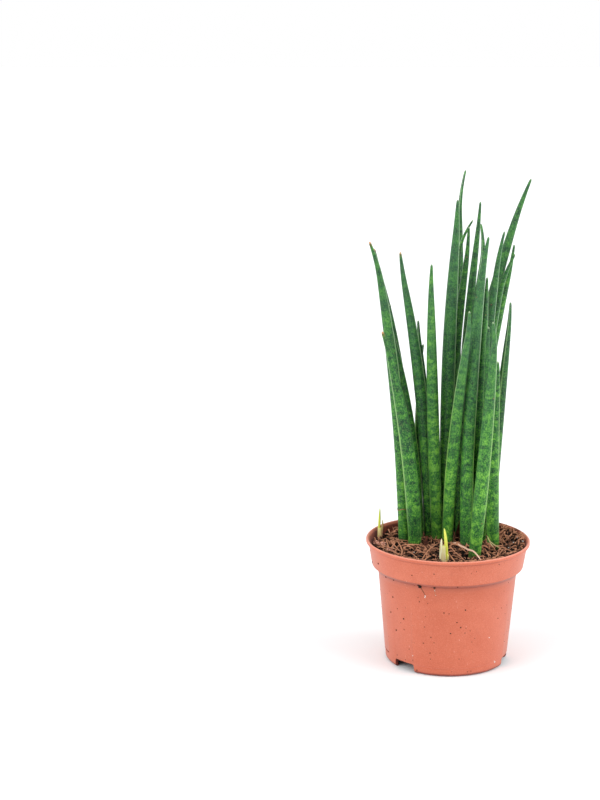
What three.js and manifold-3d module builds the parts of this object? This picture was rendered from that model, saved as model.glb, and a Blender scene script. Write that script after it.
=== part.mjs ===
// Cylindrical snake plant in a round plastic nursery pot.
// Millimetres, +Z up. The origin is the centre of the pot's foot, on the surface that the pot stands on.
// Each leaf is a piece of its own, rooted in a plain hole in the soil. The pot is a thin moulded shell.
import * as THREE from 'three';
import { mergeVertices } from 'three/addons/utils/BufferGeometryUtils.js';
import Module from 'manifold-3d';

const wasm = await Module();
wasm.setup();

// ---- Driving dimensions -------------------------------------------------------------------------

const potHeight = 91.1;
const beadRadius = 60; // outside
const beadWidth = 2.4;
const beadHeight = 2.6;
const beadCrest = 0.6; // width of the bead's flat top, which slopes away inside
const beadSlope = 1.7; // height of that slope
const bandTopRadius = 58.2; // outside, under the bead
const bandFootRadius = 55.5; // outside, at the lower edge of the rim band
const bandFoot = 72.3; // height of that edge
const bodyTop = 66.3; // height where the sloping step under the band ends
const shoulderRadius = 50.7; // outside, at the top of the body
const heelRadius = 45.2; // outside, where the heel starts to round
const heelHeight = 7;
const footRadius = 42.4;
const footWidth = 1.5; // of the ring that the pot stands on
const floorHeight = 3.2; // underside of the floor, which is raised inside that ring
const floorThickness = 1.2;
const bossRadius = 14; // the middle of the floor comes down to the table again
const wall = 1;
const potSides = 44;

const drainAngles = [-47.5, 72.5, 192.5]; // degrees round from the front, to the right
const drainWidth = 18.6;
const drainHeight = 6.8;
const drainReach = 36.5; // radius that an opening goes in to
const slitAngle = -80;
const slitHeight = 7.4;
const slitWidth = 13;

const gap = 0.3; // between the soil and all that touches it
const soilLevel = 83; // among the leaves
const soilBank = 3.7; // how much higher it lies along the pot's wall
const soilRings = 8;
const soilSides = 40;
const rootLevel = 83; // where each leaf's own sizes are taken
const rootDepth = 10; // how far a leaf goes down below that level
const strandCount = 24;

const leafSides = 10;
const leafRings = 11;
const leafTaper = 130; // length over which a leaf narrows to its tip
const hookStart = 0.87; // fraction of the length past which a tip hooks
const tipRadius = 0.65;
const bluntLength = 8; // length over which a tip is thickened

// Each leaf: root [x, y], tip [x, y, z] before its hook, bow [x, y] sideways at mid length,
// hook [x, y] at the tip, its diameter, and the way that its channel faces, in degrees from +X.
const leaves = [
  { root: [-31, 18], tip: [-55.5, 24, 307], bow: [5, 0], hook: [-3, 0], width: 9, faces: 20 },
  { root: [-28, 36], tip: [-55, 48, 299], bow: [8.5, 0], hook: [1, 0], width: 8.5, faces: 35 },
  { root: [-23.4, 9], tip: [-49, -4, 246], bow: [4.8, 0], hook: [-1, 0], width: 10.8, faces: 158 },
  { root: [-20.5, 25], tip: [-47.5, 32, 260], bow: [6, 0], hook: [5, 0], width: 9, faces: 25 },
  { root: [-11, 29], tip: [-37.5, 24, 299.5], bow: [5, 0], hook: [1.4, 0], width: 9, faces: 24 },
  { root: [-12, 38.5], tip: [-22, 44, 246], bow: [3, 0], hook: [1, 0], width: 8, faces: 300 },
  { root: [-6, 20.5], tip: [-14.5, 13, 292], bow: [-1, 0], hook: [0.5, 0], width: 9, faces: 80 },
  { root: [2, 28.5], tip: [6, 26, 337], bow: [-3.5, 0], hook: [-1, 0], width: 10, faces: 20 },
  { root: [1, 13], tip: [14.5, 0, 260], bow: [-3, 0], hook: [-2, 0], width: 9, faces: 150 },
  { root: [-4, 45], tip: [8.5, 62, 355.5], bow: [7, 2], hook: [5.3, 0], width: 5.8, faces: 200 },
  { root: [10.5, 37.5], tip: [8.5, 50, 320], bow: [-1, 2], hook: [10.5, 0], width: 6.4, faces: 170 },
  { root: [2, 38.5], tip: [16, 32, 317], bow: [-4.2, 0.8], hook: [-2, 0], width: 7.6, faces: 100 },
  { root: [11, 27], tip: [24.5, 46, 333.7], bow: [-4, 2.5], hook: [-1, 0], width: 7.2, faces: 60 },
  { root: [19, 20], tip: [27.5, 27, 319.6], bow: [-6.5, 0], hook: [-5.4, 0], width: 7.4, faces: 190 },
  { root: [14, 6], tip: [25.5, 12, 312], bow: [-4, 0], hook: [1, 0], width: 9.4, faces: 22 },
  { root: [26, 28], tip: [26.5, 13, 282.6], bow: [-2, 0], hook: [-0.4, 0], width: 8.2, faces: 22 },
  { root: [18, -18], tip: [29.6, -22, 256], bow: [0.6, 0], hook: [-2.6, 0], width: 9.8, faces: 18 },
  { root: [25.5, 12.5], tip: [26, 4, 248], bow: [2, 0], hook: [1, 0], width: 8, faces: 140 },
  { root: [34, 4], tip: [34.5, -2, 224], bow: [-2, 0], hook: [-1, 0], width: 9.6, faces: 26 },
  { root: [32.5, 22], tip: [46, 26, 262.4], bow: [-1, 0], hook: [-1, 0], width: 8, faces: 200 },
  { root: [28.5, 37.5], tip: [45, 39, 296], bow: [-8.5, 2], hook: [4, 0], width: 7.4, faces: 24 },
  { root: [17.5, 43.5], tip: [52.5, 60, 300.5], bow: [-4.5, 0], hook: [-1.7, 0], width: 7.4, faces: 150 },
  { root: [18.5, 33.5], tip: [37.5, 27, 314], bow: [-1.5, 0], hook: [2, 0], width: 7.4, faces: 20 },
  { root: [8, 45.5], tip: [61.8, 68, 348.6], bow: [-9.5, 0], hook: [1.4, 0], width: 8.8, faces: 120 },
  { root: [-20, 42], tip: [-18, 54, 226], bow: [0, 0], hook: [2, 2], width: 8.5, faces: 260 },
];

// Each young shoot: spears as foot [x, y, z], tip [x, y, z] and greatest diameter.
const shoots = {
  shoot_front: [
    { foot: [-5.2, -29.5, 79], tip: [-5.6, -29.5, 94], width: 5.4, blunt: true },
    { foot: [-3.6, -29.8, 82], tip: [-5.2, -29, 107], width: 2.8 },
    { foot: [-7.3, -29.8, 82], tip: [-7, -30, 99.5], width: 2.4 },
    { foot: [-2.8, -29.6, 82], tip: [-2.5, -30.3, 88.5], width: 2.4 },
  ],
  shoot_left: [
    { foot: [-49.2, 19, 78], tip: [-49.2, 19, 93.5], width: 4.4, blunt: true },
    { foot: [-49.7, 19, 81], tip: [-49.1, 19, 109], width: 2.2 },
    { foot: [-48.2, 19, 82], tip: [-46.9, 18.8, 100.3], width: 1.7 },
  ],
};

const colours = {
  pot: 0xde7d62,
  soil: 0x6e4a38,
  leaf: 0x4f8038,
  shoot: 0xc9d58a,
};

// ---- Solids -------------------------------------------------------------------------------------

const turn = (degrees) => THREE.MathUtils.degToRad(degrees);

// A closed geometry as a solid that can be joined and cut.
function solidOf(geometry) {
  const bare = geometry.clone();
  bare.deleteAttribute('normal');
  bare.deleteAttribute('uv');
  const merged = mergeVertices(bare, 1e-4);
  return new wasm.Manifold(new wasm.Mesh({
    numProp: 3,
    vertProperties: new Float32Array(merged.attributes.position.array),
    triVerts: new Uint32Array(merged.index.array),
  }));
}

function geometryOf(solid) {
  const mesh = solid.getMesh();
  const geometry = new THREE.BufferGeometry();
  geometry.setAttribute('position', new THREE.BufferAttribute(mesh.vertProperties, 3));
  geometry.setIndex(new THREE.BufferAttribute(mesh.triVerts, 1));
  geometry.computeVertexNormals();
  return geometry;
}

// A cylinder of the given sides and rings, reshaped by a rule: place(v, angle, rim) gives the point
// at fraction v of its length. rim is 1 on the surface and 0 at the middle of an end.
function bentCylinder(sides, rings, place) {
  const geometry = new THREE.CylinderGeometry(1, 1, 1, sides, rings);
  const at = geometry.attributes.position;
  for (let i = 0; i < at.count; i++) {
    const rim = Math.hypot(at.getX(i), at.getZ(i));
    const angle = Math.atan2(at.getX(i), at.getZ(i));
    at.setXYZ(i, ...place(at.getY(i) + 0.5, angle, rim).toArray());
  }
  return geometry;
}

// ---- Pot ----------------------------------------------------------------------------------------

// The outside from the middle of the foot to the top of the bead, as [radius, height].
const potOutside = [
  [0, 0], [bossRadius, 0], [bossRadius + 2, floorHeight],
  [footRadius - footWidth + 1.7, floorHeight], [footRadius - footWidth, 0], [footRadius, 0],
  [footRadius + 1.7, 1], [heelRadius - 0.4, 3], [heelRadius, heelHeight], [shoulderRadius, bodyTop],
  [bandFootRadius - 0.9, bandFoot - 2], [bandFootRadius, bandFoot],
  [bandTopRadius, potHeight - beadHeight], [beadRadius - 0.5, potHeight - beadHeight],
  [beadRadius, potHeight - beadHeight + 0.6], [beadRadius, potHeight - 0.8],
  [beadRadius - 0.7, potHeight], [beadRadius - 0.7 - beadCrest, potHeight],
];

// The inside, from the bead down to the middle of the floor. grow thins what fills the pot.
function potInside(grow) {
  const floor = floorHeight + floorThickness;
  return [
    [beadRadius - beadWidth, potHeight - beadSlope], [bandTopRadius - wall, potHeight - beadHeight],
    [bandFootRadius - wall, bandFoot + 0.3], [bandFootRadius - wall - 0.8, bandFoot - 1.3],
    [shoulderRadius - wall, bodyTop + 0.3], [heelRadius - wall, heelHeight],
    [heelRadius - 1.4, floor + 1], [footRadius - 0.2, floor], [bossRadius + 0.8, floor],
    [bossRadius - 1.2, floorThickness], [0, floorThickness],
  ].map(([r, z]) => [Math.max(0, r - (r > footRadius ? grow : 0)), z + (r < footRadius ? grow : 0)]);
}

function turned(profile, sides) {
  const points = profile.map(([r, z]) => new THREE.Vector2(r, z));
  return new THREE.LatheGeometry(points, sides).rotateX(Math.PI / 2);
}

// An upright arch, thick along its radius, standing at an angle round from the front.
function arch(width, height, bottom, angle, inner, outer) {
  const shape = new THREE.Shape();
  const half = width / 2;
  const round = height * 0.3;
  shape.moveTo(-half, bottom);
  shape.lineTo(half, bottom);
  shape.lineTo(half - 1, bottom + height - round);
  shape.lineTo(half - 1 - round, bottom + height);
  shape.lineTo(-half + 1 + round, bottom + height);
  shape.lineTo(-half + 1, bottom + height - round);
  shape.closePath();
  const geometry = new THREE.ExtrudeGeometry(shape, { depth: outer - inner, bevelEnabled: false });
  return geometry.rotateX(Math.PI / 2).translate(0, -inner, 0).rotateZ(turn(angle));
}

function makePot() {
  let pot = solidOf(turned([...potOutside, ...potInside(0)], potSides));
  for (const angle of drainAngles) {
    pot = pot.subtract(solidOf(arch(drainWidth, drainHeight + 1, -1, angle, drainReach, beadRadius)));
  }
  const slit = arch(slitWidth, 1, slitHeight, slitAngle, drainReach, shoulderRadius);
  return geometryOf(pot.subtract(solidOf(slit)));
}

// ---- Leaves -------------------------------------------------------------------------------------

// The leaf's centre at fraction t of its length above rootLevel. Below it the leaf goes straight on.
function leafCentre({ root, tip, bow, hook }, t) {
  const bend = 4 * t * (1 - t);
  const curl = Math.max(0, (t - hookStart) / (1 - hookStart)) ** 2;
  const side = (i) => root[i] + (tip[i] - root[i]) * t + bow[i] * bend + hook[i] * curl;
  return new THREE.Vector3(side(0), side(1), rootLevel + (tip[2] - rootLevel) * t);
}

// A leaf narrows slowly, then ends in a small blunt tip.
function leafRadius({ tip, width }, t) {
  const length = tip[2] - rootLevel;
  const toTip = Math.max(0, (1 - t) * length);
  const u = Math.min(1, toTip / leafTaper);
  const foot = 0.9 + 0.1 * THREE.MathUtils.clamp((t * length) / 40, 0, 1);
  return (width / 2) * foot * (u * (2 - u)) ** 0.68 + tipRadius * Math.exp(-toTip / bluntLength);
}

// The section: round, with a shallow channel between two lips on one side.
function sectionFactor(angle, t) {
  const depth = 0.2 + 0.2 * THREE.MathUtils.clamp(t, 0, 1);
  return 1 - depth * Math.exp(-((angle / 0.36) ** 2));
}

function makeLeaf(leaf, grow = 0, sides = leafSides, rings = leafRings, upTo = 1) {
  const length = leaf.tip[2] - rootLevel;
  const start = -rootDepth / length;
  const channel = new THREE.Vector3(Math.cos(turn(leaf.faces)), Math.sin(turn(leaf.faces)), 0);
  return bentCylinder(sides, rings, (v, angle, rim) => {
    const t = start + (upTo - start) * (1 - (1 - v) ** 1.35);
    const centre = leafCentre(leaf, t);
    const up = leafCentre(leaf, t + 0.01).sub(leafCentre(leaf, t - 0.01)).normalize();
    const across = new THREE.Vector3().crossVectors(up, channel).normalize();
    const out = new THREE.Vector3().crossVectors(across, up);
    const radius = rim * (leafRadius(leaf, t) * sectionFactor(angle, t) + grow);
    const point = centre.addScaledVector(out, radius * Math.cos(angle));
    return point.addScaledVector(across, radius * Math.sin(angle));
  });
}

// ---- Young shoots -------------------------------------------------------------------------------

function makeSpear({ foot, tip, width, blunt }, grow = 0) {
  const from = new THREE.Vector3(...foot);
  const to = new THREE.Vector3(...tip);
  return bentCylinder(8, 6, (v, angle, rim) => {
    const shape = blunt ? 1 - 0.35 * v : Math.sqrt(Math.max(0, 1 - v * v)) * (0.8 + 0.5 * v * (1 - v));
    const radius = rim * (Math.max(0.3, (width / 2) * shape) + grow);
    const centre = new THREE.Vector3().lerpVectors(from, to, v);
    return centre.add(new THREE.Vector3(radius * Math.cos(angle), radius * Math.sin(angle), 0));
  });
}

function makeShoot(spears, grow = 0) {
  return spears.map((spear) => solidOf(makeSpear(spear, grow))).reduce((a, b) => a.add(b));
}

// ---- Soil ---------------------------------------------------------------------------------------

// Height of the soil's surface: banked up along the wall and heaped at the back right rim.
function soilTop(x, y) {
  const bank = THREE.MathUtils.smoothstep(Math.hypot(x, y), 36, 56) * (soilBank - 0.02 * y);
  const heap = 4.2 * Math.exp(-((x - 50) ** 2 + (y - 26) ** 2) / 900);
  const waves = Math.sin(x / 4.1 + 1.3) * Math.cos(y / 3.7) + Math.sin((x + y) / 6.3 + 0.4);
  return soilLevel + 0.012 * x + bank + heap + 0.45 * waves;
}

// A fixed run of numbers from 0 to 1.
function makeDraw(seed) {
  let state = seed;
  return () => {
    state = (state * 16807) % 2147483647;
    return state / 2147483647;
  };
}

// A coarse coir strand that arches out of the soil and back in.
function makeStrand(x, y, heading, length, bend, radius) {
  const half = length / 2;
  return bentCylinder(4, 5, (v, angle, rim) => {
    const along = (2 * v - 1) * half;
    const aside = bend * (1 - (along / half) ** 2);
    const px = x + along * Math.cos(heading) - aside * Math.sin(heading);
    const py = y + along * Math.sin(heading) + aside * Math.cos(heading);
    const pz = soilTop(px, py) + 0.9 * Math.sin(v * Math.PI) - 0.9;
    const r = rim * radius * (0.55 + 0.45 * Math.sin(v * Math.PI));
    const side = new THREE.Vector3(-Math.sin(heading), Math.cos(heading), 0);
    const point = new THREE.Vector3(px, py, pz).addScaledVector(side, -r * Math.sin(angle));
    return point.add(new THREE.Vector3(0, 0, r * Math.cos(angle)));
  });
}

function nearLeaf(x, y, clear) {
  return leaves.some((leaf) => {
    const centre = leafCentre(leaf, 0);
    return Math.hypot(x - centre.x, y - centre.y) < leaf.width / 2 + clear;
  });
}

function nearShoot(x, y, clear) {
  return Object.values(shoots).flat().some(({ foot }) => Math.hypot(x - foot[0], y - foot[1]) < clear);
}

function placeStrands() {
  const draw = makeDraw(20417);
  const strands = [];
  while (strands.length < strandCount) {
    const reach = 50 * Math.sqrt(draw());
    const round = 2 * Math.PI * draw();
    const [x, y] = [reach * Math.cos(round), reach * Math.sin(round)];
    const heading = Math.PI * draw();
    const length = 14 + 12 * draw();
    const bend = 3 * (draw() - 0.5);
    const radius = 0.8 + 0.4 * draw();
    const ends = [-0.5, -0.25, 0, 0.25, 0.5].map((s) =>
      [x + s * length * Math.cos(heading), y + s * length * Math.sin(heading)]);
    const free = ends.every(([ex, ey]) => Math.hypot(ex, ey) < 52 && !nearLeaf(ex, ey, 3.2)
      && !nearShoot(ex, ey, 7));
    if (free) strands.push(makeStrand(x, y, heading, length, bend, radius));
  }
  return strands;
}

function makeSoil() {
  const floor = potInside(gap).slice(2).reverse();
  const [, [mouth, top], [foot, low]] = potInside(gap);
  const edge = foot + ((mouth - foot) * (soilLevel - 2 - low)) / (top - low);
  const rings = Array.from({ length: soilRings + 1 }, (_, i) => [edge * (1 - i / soilRings), soilLevel]);
  const shape = turned([...floor, ...rings], soilSides);
  const at = shape.attributes.position;
  for (let i = 0; i < at.count; i++) {
    if (at.getZ(i) > soilLevel - 0.01) at.setZ(i, soilTop(at.getX(i), at.getY(i)));
  }
  let soil = solidOf(shape);
  for (const strand of placeStrands()) soil = soil.add(solidOf(strand));
  for (const leaf of leaves) {
    const hole = makeLeaf(leaf, gap, leafSides, 2, 12 / (leaf.tip[2] - rootLevel));
    soil = soil.subtract(solidOf(hole.translate(0, 0, -gap)));
  }
  for (const spears of Object.values(shoots)) {
    soil = soil.subtract(makeShoot(spears, gap).translate([0, 0, -gap]));
  }
  return geometryOf(soil);
}

// ---- The plant in its pot -----------------------------------------------------------------------

const group = new THREE.Group();

function addPiece(name, geometry, color, roughness) {
  const material = new THREE.MeshStandardMaterial({ color, roughness, metalness: 0 });
  const piece = new THREE.Mesh(geometry, material);
  piece.name = name;
  group.add(piece);
}

addPiece('pot', makePot(), colours.pot, 0.5);
addPiece('soil', makeSoil(), colours.soil, 1);
leaves.forEach((leaf, i) => {
  addPiece(`leaf_${String(i + 1).padStart(2, '0')}`, makeLeaf(leaf), colours.leaf, 0.45);
});
for (const [name, spears] of Object.entries(shoots)) {
  addPiece(name, geometryOf(makeShoot(spears)), colours.shoot, 0.5);
}

export default group;
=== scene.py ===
# %% [markdown]
# # A cylindrical snake plant in its nursery pot
# The plant is a close stand of round, tapering leaves. Each one grows out of the soil by itself and has a
# shallow channel down one side. The pot is a thin shell of moulded plastic. The model already has a measured
# frame: a plain solid for the pot, the soil, each leaf and each young shoot, at their real size. This lesson
# keeps those places and puts a finer piece over each solid. It works in metres, but most sizes are written in
# millimetres and scaled once.

import math
import random
from collections import namedtuple

import bmesh
import bpy
from mathutils import Matrix, Vector, noise


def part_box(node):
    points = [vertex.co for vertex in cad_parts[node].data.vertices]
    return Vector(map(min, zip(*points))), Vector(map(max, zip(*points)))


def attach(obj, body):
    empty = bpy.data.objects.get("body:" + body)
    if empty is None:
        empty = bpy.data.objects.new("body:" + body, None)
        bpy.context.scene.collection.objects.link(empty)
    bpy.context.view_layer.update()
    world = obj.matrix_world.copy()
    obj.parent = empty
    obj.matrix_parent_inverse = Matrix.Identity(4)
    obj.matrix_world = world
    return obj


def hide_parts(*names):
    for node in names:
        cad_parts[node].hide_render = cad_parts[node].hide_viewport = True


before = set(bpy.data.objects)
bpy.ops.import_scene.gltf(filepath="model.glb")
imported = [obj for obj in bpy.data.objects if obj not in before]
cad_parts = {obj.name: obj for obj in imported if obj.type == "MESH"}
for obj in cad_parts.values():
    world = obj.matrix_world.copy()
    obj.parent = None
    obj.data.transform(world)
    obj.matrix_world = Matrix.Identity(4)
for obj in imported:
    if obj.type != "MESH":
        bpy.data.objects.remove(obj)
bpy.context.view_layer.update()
MM = 0.001
SEED = 20417
noise.seed_set(SEED)  # without it, noise_vector takes its seed from the clock


# %% [markdown]
# ## Helpers for pieces
# A piece starts as a bmesh, which is the editable form of a mesh. One helper turns it into an object, shades it
# smooth with crisp edges where faces meet at a sharp angle, gives it a finish and lets it ride with the model's
# body. Doing this in one place means that no piece is forgotten and that each one sits at the origin.

# %% Turn a bmesh into a piece
CRISP_ANGLE = math.radians(38)


def clamped(value):
    return min(1, max(0, value))


def direction(turn):
    """A step of length 1 over the ground, turned from +X by an angle in radians."""
    return Vector((math.cos(turn), math.sin(turn)))


def mesh_from(bm, name):
    mesh = bpy.data.meshes.new(name)
    bm.to_mesh(mesh)
    bm.free()
    return mesh


def in_scene(name, data):
    """A new object for a mesh, curve, light or camera."""
    made = bpy.data.objects.new(name, data)
    bpy.context.scene.collection.objects.link(made)
    return made


def final_mesh(made):
    """The mesh that an object's modifiers or curve settings give."""
    return bpy.data.meshes.new_from_object(made.evaluated_get(bpy.context.evaluated_depsgraph_get()))


def piece_from(bm, name, finish, replaces=()):
    """Writes a bmesh, in millimetres, into a new piece in metres with its finish and its body."""
    bmesh.ops.scale(bm, vec=(MM, MM, MM), verts=bm.verts)
    mesh = mesh_from(bm, name)
    mesh.shade_smooth()
    mesh.set_sharp_from_angle(angle=CRISP_ANGLE)
    mesh.materials.append(finish)
    piece = in_scene(name, mesh)
    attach(piece, "root")
    if replaces:
        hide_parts(*replaces)
    return piece


# %% [markdown]
# ## Helpers for finishes
# A finish is a tree of shader nodes. Most of these helpers add one node and give back its output, so that a
# finish below reads like a recipe. Patterns are worked out from a place in millimetres, which makes their scale
# easy to judge. Colours are written as on a screen, from 0 to 255, and made linear, as a node needs them.

# %% Node helpers
def new_finish(name):
    finish = bpy.data.materials.new(name)
    finish.use_nodes = True
    return finish


def fill_sockets(finish, node, inputs):
    """inputs are (socket, value) pairs, and a value may be another node's output."""
    for socket, value in inputs:
        if isinstance(value, bpy.types.NodeSocket):
            finish.node_tree.links.new(value, node.inputs[socket])
        else:
            node.inputs[socket].default_value = value


def add(finish, kind, inputs=(), **settings):
    node = finish.node_tree.nodes.new(kind)
    for key, value in settings.items():
        setattr(node, key, value)
    fill_sockets(finish, node, inputs)
    return node


def linear(tint):
    """A screen colour as a linear one. A node's output stays as it is."""
    if isinstance(tint, bpy.types.NodeSocket):
        return tint
    parts = [c / 255 for c in tint]
    return [c / 12.92 if c < 0.04 else ((c + 0.055) / 1.055) ** 2.4 for c in parts] + [1]


# %% Places and patterns
def attribute(finish, name, output="Fac"):
    return add(finish, "ShaderNodeAttribute", attribute_name=name).outputs[output]


def parts_of(finish, vector):
    """The three numbers in a vector."""
    node = add(finish, "ShaderNodeSeparateXYZ", [(0, vector)])
    return [node.outputs[axis] for axis in "XYZ"]


def stretched(finish, place, scale):
    inputs = [(0, place), (1, scale)]
    return add(finish, "ShaderNodeVectorMath", inputs, operation="MULTIPLY").outputs[0]


def object_place(finish):
    """The place on the object, in millimetres."""
    place = add(finish, "ShaderNodeTexCoord").outputs["Object"]
    return stretched(finish, place, (1 / MM, 1 / MM, 1 / MM))


def cloudy(finish, place, scale=1.0, detail=2.0, roughness=0.5, distortion=0.0):
    inputs = [("Vector", place), ("Scale", scale), ("Detail", detail), ("Roughness", roughness),
              ("Distortion", distortion)]
    return add(finish, "ShaderNodeTexNoise", inputs).outputs["Fac"]


def between(finish, value, low, high, out_low, out_high, kind="LINEAR"):
    """Goes from out_low to out_high while value goes from low to high."""
    inputs = [("Value", value), ("From Min", low), ("From Max", high),
              ("To Min", out_low), ("To Max", out_high)]
    return add(finish, "ShaderNodeMapRange", inputs, interpolation_type=kind).outputs["Result"]


def stepped(finish, value, low, high, out_low=0.0, out_high=1.0):
    """As between, but smoothly."""
    return between(finish, value, low, high, out_low, out_high, "SMOOTHSTEP")


def maths(finish, operation, a, b):
    return add(finish, "ShaderNodeMath", [(0, a), (1, b)], operation=operation).outputs[0]


def plus(finish, a, b):
    return maths(finish, "ADD", a, b)


def times(finish, a, b):
    return maths(finish, "MULTIPLY", a, b)


# %% Colours and surface
def mixed(finish, share, a, b):
    """Colour a, turned into colour b by a share from 0 to 1."""
    inputs = [(0, share), (6, linear(a)), (7, linear(b))]
    return add(finish, "ShaderNodeMix", inputs, data_type="RGBA").outputs[2]


def layered(finish, base, coats):
    """Mixes coats over a base colour, one after another. coats are (share, colour) pairs."""
    for share, tint in coats:
        base = mixed(finish, share, base, tint)
    return base


def ramp(finish, value, stops):
    """A colour scale. stops are (place, colour) pairs."""
    node = add(finish, "ShaderNodeValToRGB", [(0, value)])
    scale = node.color_ramp.elements
    while len(scale) < len(stops):
        scale.new(0.5)
    for element, (place, tint) in zip(scale, stops):
        element.position = place
        element.color = linear(tint)
    return node.outputs["Color"]


def chained(finish, value, points):
    """A number that goes from point to point in straight lines. points are (value, result) pairs."""
    result = points[0][1]
    for (low, start), (high, end) in zip(points, points[1:]):
        result = plus(finish, between(finish, value, low, high, 0.0, end - start), result)
    return result


def dots(finish, place, scale, size):
    """1 inside small round dots, 0 outside."""
    node = add(finish, "ShaderNodeTexVoronoi", [("Vector", place), ("Scale", scale)])
    return stepped(finish, node.outputs["Distance"], size, size * 0.6)


def set_surface(finish, tint, roughness, specular, sheen=0.0, sheen_roughness=0.5):
    """Gives the finish its colour, its roughness and its gloss."""
    inputs = [("Base Color", tint), ("Roughness", roughness), ("Specular IOR Level", specular),
              ("Sheen Weight", sheen), ("Sheen Roughness", sheen_roughness)]
    fill_sockets(finish, finish.node_tree.nodes["Principled BSDF"], inputs)


def raise_surface(finish, height, depth_mm):
    """Lets a pattern stand out of the surface by up to depth_mm."""
    bump = add(finish, "ShaderNodeBump", [("Height", height), ("Distance", depth_mm * MM), ("Strength", 1.0)])
    fill_sockets(finish, finish.node_tree.nodes["Principled BSDF"], [("Normal", bump.outputs["Normal"])])


# %% [markdown]
# ## Camera, light and floor
# A long lens from a little above is what shows a plant in a pot without making its near leaves look fat. The
# studio is a white cove: a white surrounding, a wide light overhead and a large light at each side. Lights near
# the plant would fall off and leave a bright patch on the floor, so all are sun lights, spread over a wide
# angle. The surrounding looks pure white but lights the plant less than that, so that the leaves keep dark sides
# where they stand close.

# %% Camera
CAMERA_PLACE = (-0.1086, -1.2278, 0.457)
CAMERA_PITCH = 12.05  # degrees below level
FOCAL_PIXELS = 1737
PICTURE_HEIGHT = 800
SENSOR = 36

camera = in_scene("camera", bpy.data.cameras.new("camera"))
camera.location = CAMERA_PLACE
camera.rotation_euler = (math.radians(90 - CAMERA_PITCH), 0, 0)
camera.data.sensor_width = SENSOR
camera.data.lens = FOCAL_PIXELS * SENSOR / PICTURE_HEIGHT
bpy.context.scene.camera = camera
print("lens:", round(camera.data.lens, 1), "mm")


# %% Light
def broad_light(name, towards, strength, spread):
    """A sun light that shines in one direction, softened over an angle in degrees."""
    light = bpy.data.lights.new(name, "SUN")
    light.energy = strength
    light.angle = math.radians(spread)
    lamp = in_scene(name, light)
    lamp.location = (0, 0, 1)
    lamp.rotation_euler = Vector(towards).to_track_quat("-Z", "Y").to_euler()


broad_light("overhead", (0, 0, -1), 1.1, 90)
broad_light("left", (0.9, 0.5, -0.55), 1.7, 50)
broad_light("right", (-1.0, 0.35, -0.5), 2.0, 50)
print("lights:", len(bpy.data.lights))

world = bpy.data.worlds.new("studio")
world.use_nodes = True
surround = world.node_tree.nodes["Background"]
surround.inputs["Color"].default_value = (1, 1, 1, 1)
seen = world.node_tree.nodes.new("ShaderNodeLightPath").outputs["Is Camera Ray"]
fill = world.node_tree.nodes.new("ShaderNodeMapRange")
fill.inputs["To Min"].default_value = 0.65  # as light
fill.inputs["To Max"].default_value = 1.0  # as background
world.node_tree.links.new(seen, fill.inputs["Value"])
world.node_tree.links.new(fill.outputs["Result"], surround.inputs["Strength"])
bpy.context.scene.world = world
bpy.context.scene.view_settings.view_transform = "Standard"

# %% Floor
floor_finish = new_finish("pale_floor")
floor_tint = cloudy(floor_finish, object_place(floor_finish), 0.004, 3)
set_surface(floor_finish, mixed(floor_finish, floor_tint, (238, 240, 242), (241, 243, 244)), 0.8, 0.2)

floor_bm = bmesh.new()
bmesh.ops.create_grid(floor_bm, x_segments=4, y_segments=4, size=20)
floor = in_scene("floor", mesh_from(floor_bm, "floor"))
floor.data.materials.append(floor_finish)


# %% [markdown]
# ## The pot
# The pot is injection moulded: one shell a millimetre thick, with a bead that stiffens its mouth, a deep rim
# band, a slanting step and a tapered body. A lathe shape could be drawn by hand as rings of points, but a spun
# outline is easier to read and to change. The outline is a chain of corners. A vertex bevel rounds each corner
# by its own amount, as a mould's cutter does, and a full spin turns the chain into the shell.

# %% Pot outline
_, pot_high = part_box("pot")
POT_HEIGHT = pot_high.z / MM
BEAD_RADIUS = pot_high.x / MM
BEAD_FOOT = POT_HEIGHT - 2.6
BEAD_MOUTH = BEAD_RADIUS - 2.4
POT_STEPS = 144
CORNER_SEGMENTS = 4

# Corners as (radius, height, rounding), from the middle of the foot, up the outside and down the inside.
pot_corners = [
    (0, 0, 0), (14, 0, 0.4), (16, 3.2, 0.4), (42.6, 3.2, 0.4), (40.9, 0, 0.35), (44.6, 0, 2.4),
    (44.95, 6.3, 0), (45.25, 6.6, 0), (50.7, 66.2, 1.8), (53.0, 70.3, 1.2), (55.5, 72.1, 0.35),
    (58.2, BEAD_FOOT - 0.1, 0.25), (BEAD_RADIUS, BEAD_FOOT, 0.7), (BEAD_RADIUS, POT_HEIGHT, 0.75),
    (BEAD_RADIUS - 1.3, POT_HEIGHT, 0.5), (BEAD_MOUTH, POT_HEIGHT - 1.7, 0.6), (57.1, BEAD_FOOT, 0.4),
    (54.5, 72.6, 0.9), (49.7, 66.6, 1.4),
    (44.2, 7, 0), (43.6, 4.4, 1.0), (14.8, 4.4, 0.4), (12.8, 1.2, 0.4), (0, 1.2, 0),
]


def round_off(bm, corners, amount, segments):
    bmesh.ops.bevel(bm, geom=corners, offset=amount, segments=segments, profile=0.5,
                    affect="VERTICES", material=-1)


def rounded_chain(corners):
    """A chain of edges in the XZ plane whose corners are rounded by a vertex bevel."""
    bm = bmesh.new()
    points = [bm.verts.new((radius, 0, height)) for radius, height, _ in corners]
    for a, b in zip(points, points[1:]):
        bm.edges.new((a, b))
    for amount in sorted({rounding for _, _, rounding in corners if rounding}):
        chosen = [v for v, (_, _, rounding) in zip(points, corners) if rounding == amount]
        round_off(bm, chosen, amount, CORNER_SEGMENTS)
    return bm


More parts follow.
